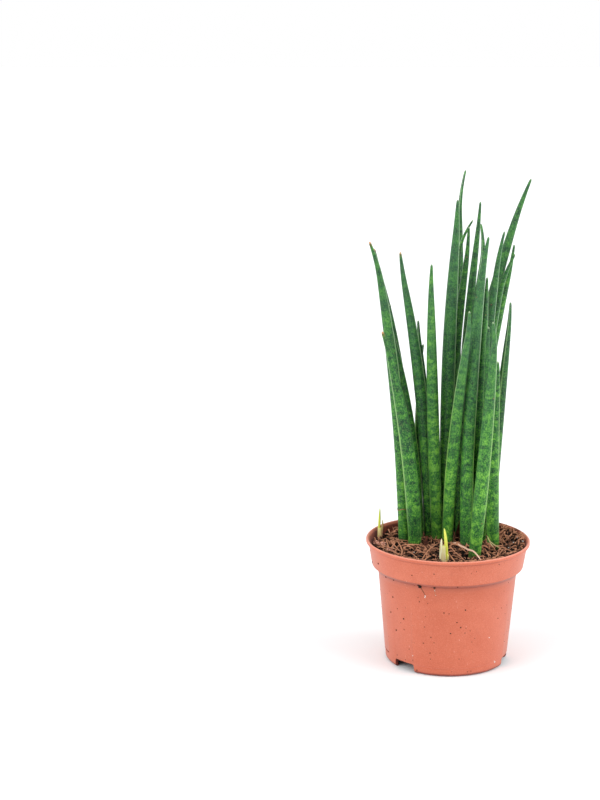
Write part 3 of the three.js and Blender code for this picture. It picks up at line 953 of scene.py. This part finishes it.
def lay(layer, paths):
    """Makes a layer's strands into a piece. Painted shade makes the lower parts of the strands darker."""
    shades = [shade_of(layer, path) for path in paths]
    # painted shade: 0.3 lighter for each mm over the soil's level, darker under it
    piece = strand_piece(layer.name, paths, layer.thickness, shades, coir, 0.3)
    print(layer.name, len(paths), "strands,", len(piece.data.polygons), "faces")


for layer in layers:
    lay(layer, [strand_path(layer, scattered_place(), rng.uniform(0, math.tau)) for _ in range(layer.count)])
round_leaves = [collar_path(foot, radius) for foot, radius in leaf_feet for _ in range(collars.count)]
round_leaves += [leaning_path(foot, radius) for foot, radius in leaf_feet for _ in range(LEANERS)]
lay(collars, round_leaves)


# %% [markdown]
# Between the strands lie crumbs of peat and pith and a few pale grains of grit. A crumb is a small ball of 20
# faces, squashed and turned by chance. At this size its flat faces read as broken edges.

# %% Crumbs in the soil
CRUMBS = 900
CHANCE_GRAINS = 12
PITH_REACH = 54.5
grit = fibre_finish("pale_grit", (150, 136, 124), (190, 182, 172), (220, 220, 216))
pith = fibre_finish("pink_pith", (130, 78, 62), (184, 126, 106), (222, 170, 152))


def crumbs_piece(name, crumbs, finish):
    """Small angular lumps. crumbs are (place, size in mm, shade)."""
    bm = bmesh.new()
    shade_layer = bm.verts.layers.float.new("shade")
    for place, size, shade in crumbs:
        spin = Matrix.Rotation(rng.uniform(0, math.tau), 4, Vector((rng.random(), rng.random(), 1)))
        squash = Matrix.Diagonal([size / 2 * rng.uniform(0.75, 1.2) for _ in range(3)] + [1])
        matrix = Matrix.Translation(place) @ spin @ squash
        ball = bmesh.ops.create_icosphere(bm, subdivisions=1, radius=1, matrix=matrix)
        for v in ball["verts"]:
            v[shade_layer] = shade
    return piece_from(bm, name, finish)


def on_soil(place, lift):
    return Vector((place.x, place.y, soil_top(place.x, place.y) + lift))


soil_crumbs = []
while len(soil_crumbs) < CRUMBS:
    place = clear_of_leaves(scattered_place())
    soil_crumbs.append((on_soil(place, rng.uniform(-2.4, 0.4)), rng.uniform(0.8, 2.2), rng.uniform(0.0, 0.8)))
crumbs_piece("soil_crumbs", soil_crumbs, coir)

grit_places = [(40.8, 9.7, 86.9), (55.2, -0.7, 88.9), (35.4, 29.2, 87.4), (48.3, -1.3, 88.0),
               (52.2, 6.9, 89.2), (31, 5.5, 85.6), (44, -9, 86.4), (-40, -6, 85.2)]
grit_grains = [(Vector(place), rng.uniform(1.0, 1.6), rng.uniform(0.4, 1.0)) for place in grit_places]
for _ in range(CHANCE_GRAINS):
    grit_grains.append((on_soil(scattered_place(), 0.6), rng.uniform(0.6, 1.1), rng.uniform(0.2, 0.8)))
crumbs_piece("grit", grit_grains, grit)

# A clump of loose pith near the wall at the left: middle (x, y), spread and count.
PITH_CLUMPS = (((-50, 4), (4.5, 5.0), 46), ((-43, -6), (2.5, 3.0), 16))
pith_crumbs = []
for (x, y), (across, along), count in PITH_CLUMPS:
    for _ in range(count):
        place = Vector((rng.gauss(x, across / 2), rng.gauss(y, along / 2)))
        if place.length < PITH_REACH:
            lifted = on_soil(place, rng.uniform(0.2, 1.4))
            pith_crumbs.append((lifted, rng.uniform(0.9, 2.0), rng.uniform(0.3, 1.1)))
crumbs_piece("pith_clump", pith_crumbs, pith)
print("crumbs:", len(soil_crumbs) + len(grit_grains) + len(pith_crumbs))

# %% [markdown]
# Some strands lie on top by themselves, where they catch the eye: one loops round a leaf's foot, others cross in
# front, and a few lie over the bead where the mix is heaped. Two pale straws lean on a leaf. The thickest
# strand is not coir but a root of the plant. All but the thread are smooth lines through a few points.

# %% Strands laid on top
laid_strands = [
    [(-34.9, 1.6, 83), (-33.2, 3.5, 84.4), (-30, 3.4, 85), (-25.8, 2.8, 85.4), (-21.5, 2.6, 85.2),
     (-18.2, 3.4, 84)],
    [(-7.2, 3.1, 86), (-11.8, -4.4, 85.6), (-15.3, -12.4, 85), (-18.9, -23.1, 84.5), (-20.8, -29.6, 83.5)],
    [(-26.3, -2.9, 84), (-21.8, -11.1, 84.6), (-17.8, -16.7, 84.8), (-14.8, -16.6, 84)],
    [(-44.2, 23.6, 84.5), (-44.2, 8.6, 85.8), (-43.4, -5.8, 84.8)],
    [(-41.2, 15.5, 85), (-39.4, 0.6, 85.8), (-35.7, -12, 84.8)],
    [(-52.4, -4.9, 86.5), (-48, -10.2, 86.8), (-43.8, -14.4, 85.6)],
    [(-42.5, 44, 86), (-41.5, 36.4, 86.8), (-40.6, 30, 85.5)],
    [(-36.3, 17.1, 84.5), (-34.2, -11.6, 85.7), (-35.6, -23.1, 84.5)],
    [(-29.8, -10.8, 84.5), (-26.4, -22.2, 85.2), (-23.1, -31.2, 84)],
    [(-13.9, -23.1, 84.5), (-17.5, -30.6, 85.4), (-19.8, -35.2, 84.5)],
    [(0.9, -2.4, 85), (4.2, 2.2, 85.7), (8.4, -0.6, 85.4), (12.2, -14.3, 84.8)],
    [(-1.4, -15.7, 85.5), (0, -29.6, 86.2), (2, -42, 86)],
    [(4.9, -14.9, 85), (7.2, -29.1, 85.8), (10, -38, 85)],
    [(1.7, 5, 84), (2.6, -8.1, 85.4), (6.7, -27.2, 85)],
    [(31.3, 0.2, 85), (32.6, -2.2, 85.8), (34, -8.7, 85)],
    [(33.4, -1, 85.5), (36.1, -4.5, 86.6), (38.6, -8.2, 86)],
    [(35.4, -15.7, 86), (37.9, -12.2, 87.6), (41.2, -15.3, 87.6), (45.2, -18.6, 86.5)],
    [(52.4, 15.6, 90), (53.4, 6.4, 90.2), (54.4, -1.2, 89.4)],
    [(23.8, -14.9, 85), (25.7, -10.7, 86.2), (27.1, -18.2, 86), (27.4, -28.8, 85.5)],
]


def smoothed(points, steps=4):
    """A smooth line through the points (Catmull-Rom), so that a few points make a curve without corners."""
    points = [Vector(p) for p in points]
    ends = [2 * points[0] - points[1], *points, 2 * points[-1] - points[-2]]
    line = []
    for a, b, c, d in zip(ends, ends[1:], ends[2:], ends[3:]):
        for i in range(steps):
            t = i / steps
            line.append(b + (c - a) * t / 2 + (a - 2.5 * b + 2 * c - d / 2) * t * t
                        + (1.5 * (b - c) + (d - a) / 2) * t ** 3)
    return [*line, points[-1]]


laid_paths = [smoothed(points) for points in laid_strands]
laid = strand_piece("coir_laid", laid_paths, 1.0, [rng.uniform(0.85, 1.1) for _ in laid_paths], coir)
root_line = smoothed([(3, 12.2, 83), (6.1, 7.1, 85.2), (9.6, -3.2, 86), (12.2, -11.5, 86.8),
                      (13.4, -19.5, 88), (16.3, -24.7, 88.6), (18.3, -30.5, 88), (21, -37, 85.5)], 5)
root_finish = fibre_finish("young_root", (168, 104, 82), (216, 160, 138), (238, 214, 186))
strand_piece("surface_root", [root_line], 1.7, [0.7], root_finish)
print("laid strands:", len(laid_paths), "with", len(laid.data.polygons), "faces")

# %% Strands over the bead
BEAD_STRANDS = 16


def over_bead():
    """A short strand across the pot's edge at the right."""
    turn = math.radians(rng.uniform(-2, 52))
    reaches = (rng.uniform(51, 54), rng.uniform(55.5, 56.8), rng.uniform(57, 58.6))
    rises = (90.3, rng.uniform(91.3, 92), 91.4)
    turns = [turn + rng.gauss(0, 0.035) for _ in reaches]
    return [(r * math.cos(a), r * math.sin(a), z) for r, a, z in zip(reaches, turns, rises)]


bead_paths = [smoothed(over_bead()) for _ in range(BEAD_STRANDS)]
strand_piece("coir_over_bead", bead_paths, 1.0, [rng.uniform(0.6, 1.1) for _ in bead_paths], coir)
print("strands over the bead:", len(bead_paths))

# %% Straws and a thread
straw_lines = [
    [(29.4, 1.0, 92.4), (30.5, -1.5, 89.8), (33.4, -3.5, 87.4), (36.8, -6, 85.9), (39, -7.5, 84.2)],
    [(30.2, -0.6, 89.4), (31.9, -3.2, 87), (34.6, -6.5, 84)],
]
straw_finish = fibre_finish("pale_straw", (136, 112, 66), (188, 172, 116), (220, 210, 164))
strand_piece("straws", [smoothed(line) for line in straw_lines], 0.8, [0.6, 0.8], straw_finish)

# A thread hangs round the front of one leaf, well over the soil.
THREAD_HEIGHT = 108.5
thread_leaf = leaves[0]
thread_share = (THREAD_HEIGHT - SOIL_LEVEL) / (thread_leaf.tip[2] - SOIL_LEVEL)
thread_reach = leaf_radius(thread_leaf, thread_share) + 0.35
thread_middle = leaf_centre(thread_leaf, thread_share)
thread = []
for degrees in range(170, 381, 15):
    turn = math.radians(degrees)
    x, y = thread_reach * math.cos(turn), thread_reach * math.sin(turn)
    thread.append(thread_middle + Vector((x, y, 0.7 * math.sin(3 * turn))))
strand_piece("hung_thread", [thread], 0.7, [0.75], coir)
print("thread:", round(2 * thread_reach, 1), "mm across")

# %% [markdown]
# Here and there a dry scale leaf stands up between the leaves, brown and curled like a shaving. It is a flat
# grid, bent into a gutter and pushed about by noise, and a thickness turns it into a closed body.

# %% Dry scale leaves
dry_finish = fibre_finish("dry_scale", (50, 24, 15), (100, 56, 40), (160, 102, 80))
SCALE_THICKNESS = 0.35


def dry_scale(name, foot, size, lean, facing):
    """A curled scrap: foot (x, y, z), size (width, height) and top's lean (x, y) in mm, facing in degrees."""
    bm = bmesh.new()
    bmesh.ops.create_grid(bm, x_segments=6, y_segments=14, size=0.5)
    width, height = size
    turn = Matrix.Rotation(math.radians(facing), 3, "Z")
    for v in bm.verts:
        side, up = v.co.x, v.co.y + 0.5
        ragged = 1 + 0.35 * noise.noise(Vector((up * 4, side * 2, foot[0])))
        half = width * (1 - 0.55 * up) * ragged
        around = side * 2.2
        bent = turn @ Vector((half * math.sin(around) * 0.7, half * (1 - math.cos(around)), 0))
        drift = Vector((lean[0] * up * up, lean[1] * up * up, 0))
        crumple = noise.noise_vector(Vector((side * 3, up * 5, foot[1]))) * 0.5
        v.co = Vector(foot) + bent + drift + crumple + Vector((0, 0, height * up))
    bmesh.ops.solidify(bm, geom=bm.faces[:], thickness=SCALE_THICKNESS)
    bmesh.ops.recalc_face_normals(bm, faces=bm.faces)
    shade_layer = bm.verts.layers.float.new("shade")
    for v in bm.verts:
        v[shade_layer] = 0.35 + 0.5 * noise.noise(v.co * 0.5)
    return piece_from(bm, name, dry_finish)


tall_scale = dry_scale("dry_scale_tall", (10.2, 21, 82), (4.2, 16), (1.2, 1), 10)
dry_scale("dry_scale_short", (-16.4, 5.4, 82.5), (3.4, 8.5), (1.4, 0), -30)
dry_scale("dry_scale_back", (-2.5, 8.5, 82), (3, 6), (-0.8, 0.5), 40)
dry_scale("dry_scale_far", (-15.6, 47, 82), (3.4, 39), (-0.2, 0), 15)
print("dry scales:", len(tall_scale.data.polygons), "faces each")


# %% [markdown]
# ## The young shoots
# Two new shoots push up: a thick one at the front and a thin one at the left. Each is a pale papery sheath with
# two or three slim spears. They use the same cylinder as the leaves, moved by simpler rules.

# %% Shoot finish
young = new_finish("young_shoot")
yellow, green, pink = parts_of(young, attribute(young, "look", "Vector"))
young_streaks = cloudy(young, stretched(young, object_place(young), (1.6, 1.6, 0.2)), 1, 3)
papery = ramp(young, young_streaks, [(0.35, (214, 204, 146)), (0.65, (240, 238, 214))])
young_colour = layered(young, papery, [
    (yellow, (234, 238, 84)),
    (green, (122, 146, 26)),
    (times(young, pink, stepped(young, young_streaks, 0.3, 0.55, 0.2, 1.0)), (170, 108, 94)),
])
set_surface(young, young_colour, stepped(young, young_streaks, 0.3, 0.7, 0.35, 0.55), 0.5)
raise_surface(young, young_streaks, 0.06)

# %% Shoot pieces
SPEAR_SIDES = 14
SPEAR_RINGS = 20
Spear = namedtuple("Spear", "foot tip width blunt bow yellow green pink")

# foot and tip (x, y, z) and greatest diameter in mm, whether it ends blunt, how far it bows to the right, and
# how yellow, how green and how pink it is. Each of these three has a value at the foot and one at the tip.
shoots = {
    "shoot_front": [
        Spear((-5.2, -29.5, 79), (-5.6, -29.5, 94), 5.4, True, 0, (0.1, 0.3), (0, 0.05), (0.8, 0)),
        Spear((-3.6, -29.8, 82), (-5.2, -29, 107), 2.8, False, 0.7, (1, 0.85), (0.5, 0), (0, 0)),
        Spear((-7.3, -29.8, 82), (-7, -30, 99.5), 2.4, False, -0.2, (0.15, 0), (0, 0), (0, 0)),
        Spear((-2.8, -29.6, 82), (-2.5, -30.3, 88.5), 2.4, False, 0.1, (0, 0.9), (0, 0.1), (0.8, 0)),
    ],
    "shoot_left": [
        Spear((-49.2, 19, 78), (-49.2, 19, 93.5), 4.4, True, 0, (0, 0.5), (0, 0.05), (1.7, 0.1)),
        Spear((-49.7, 19, 81), (-49.1, 19, 109), 2.2, False, -0.1, (0.9, 1), (0.1, 0.6), (0, 0)),
        Spear((-48.2, 19, 82), (-46.9, 18.8, 100.3), 1.7, False, 0.1, (0, 0.3), (0, 0.8), (1.6, 0.2)),
    ],
}


def spear_mesh(spear):
    bm = rod(SPEAR_SIDES, SPEAR_RINGS)
    look_layer = bm.verts.layers.float_vector.new("look")
    foot, tip = Vector(spear.foot), Vector(spear.tip)
    for v in bm.verts:
        t = clamped(v.co.z + 0.5)
        angle = math.atan2(v.co.y, v.co.x)
        shape = 1 - 0.35 * t if spear.blunt else math.sqrt(max(0, 1 - t ** 4)) * (0.8 + 0.5 * t * (1 - t))
        radius = max(0.12, spear.width / 2 * shape) * (1 + 0.06 * math.cos(5 * angle))
        centre = foot.lerp(tip, t)
        centre.x += spear.bow * 4 * t * (1 - t)
        v.co = centre + Vector((radius * math.cos(angle), radius * math.sin(angle), 0))
        v[look_layer] = [a + (b - a) * t for a, b in (spear.yellow, spear.green, spear.pink)]
    return mesh_from(bm, "spear")


for node, spears in shoots.items():
    shoot_bm = bmesh.new()
    for spear in spears:
        mesh = spear_mesh(spear)
        shoot_bm.from_mesh(mesh)
        bpy.data.meshes.remove(mesh)
    piece_from(shoot_bm, "fine_" + node, young, [node])
print("shoots:", list(shoots))


# %% [markdown]
# ## Soil on the pot
# Watering and handling leave specks of soil and a few pale scuffs on the plastic. The larger ones are lumps
# that stand out from the wall. Each is placed by its angle round the pot and its height, and the corners of the
# outside wall give its radius there, so no speck floats or sinks in.

# %% Specks on the pot
WALL = [(44.6, 0.8), (44.95, 6.3), (50.7, 66.2), (53.0, 70.3), (55.5, 72.1), (58.2, BEAD_FOOT)]
CHANCE_SPECKS = 90


def on_wall(angle, height, out=0.0):
    """The place on the pot's outside at an angle in degrees round from the front, to the right."""
    turn = math.radians(angle)
    for (low_radius, low_height), (high_radius, high_height) in zip(WALL, WALL[1:]):
        if height <= high_height:
            share = (height - low_height) / (high_height - low_height)
            radius = low_radius + (high_radius - low_radius) * share + out
            return Vector((radius * math.sin(turn), -radius * math.cos(turn), height))


# angle, height, size
specks_placed = [
    (-26.1, 69.5, 3.2), (-27.2, 70.4, 2.0), (-14.5, 69.6, 2.0), (-56.3, 54.9, 1.3), (-82.3, 75.1, 1.4),
    (-66.3, 78.7, 1.3), (-62.4, 69.0, 1.3), (-51.9, 69.3, 1.2), (-18.7, 13.4, 1.1), (-19.1, 18.1, 1.2),
    (-1.1, 34.3, 1.4), (-54.5, 29.7, 1.7), (7.2, 14.2, 1.1), (19.7, 18.8, 1.0), (-25.0, 25.2, 1.1),
    (-39.5, 18.2, 1.1), (-7.0, 50.1, 1.2), (10.9, 52.2, 1.2), (-55.6, 9.9, 1.1), (-44.9, 8.8, 1.0),
    (-36.2, 10.1, 1.0), (-32.2, 2.9, 1.0), (-61.1, 42.1, 1.3), (-44.3, 40.9, 1.5), (-48.1, 36.9, 0.9),
    (-44.4, 32.4, 1.0), (7.5, 38.8, 1.2), (4.1, 42.8, 1.0), (-18.1, 30.5, 1.0), (-23.6, 37.9, 0.9),
    (16.0, 35.7, 0.9), (20.9, 29.4, 0.9), (45.1, 41.0, 0.9), (55.4, 66.3, 1.0), (3.1, 71.3, 1.0),
    (-31.1, 78.0, 0.9), (-14.3, 81.0, 0.9), (-27.8, 56.9, 1.0), (-29.0, 60.0, 0.9), (11.5, 34.3, 1.0),
]
specks = [(on_wall(angle, height), size, rng.uniform(0.05, 0.35)) for angle, height, size in specks_placed]
for _ in range(CHANCE_SPECKS):
    place = on_wall(rng.uniform(0, 360), rng.uniform(2, BEAD_FOOT - 1))
    specks.append((place, rng.uniform(0.45, 0.95), rng.uniform(0.1, 0.5)))
crumbs_piece("stuck_specks", specks, coir)

scuff_places = [(36.2, 27.8, 1.1), (47.3, 6.3, 1.5), (46.2, 7.4, 1.1), (-36.0, 13.7, 0.9), (-22.6, 62.0, 1.1),
                (-22.9, 60.8, 1.0), (-14.6, 67.4, 0.9), (-14.4, 66.2, 0.7), (-13.9, 63.4, 0.5)]
crumbs_piece("stuck_grit", [(on_wall(a, h), size, 0.9) for a, h, size in scuff_places], grit)

stuck_lines = [
    [(-26.1, 69.6), (-25.2, 66.6), (-23.8, 64.4), (-22.6, 62.4)],
    [(-14.5, 69.4), (-14.6, 66), (-13.9, 62.6)],
]
stuck_paths = [smoothed([on_wall(a, h, 0.1) for a, h in line]) for line in stuck_lines]
strand_piece("stuck_fibres", stuck_paths, 0.5, [0.6, 0.8], coir)
print("specks:", len(specks) + len(scuff_places))
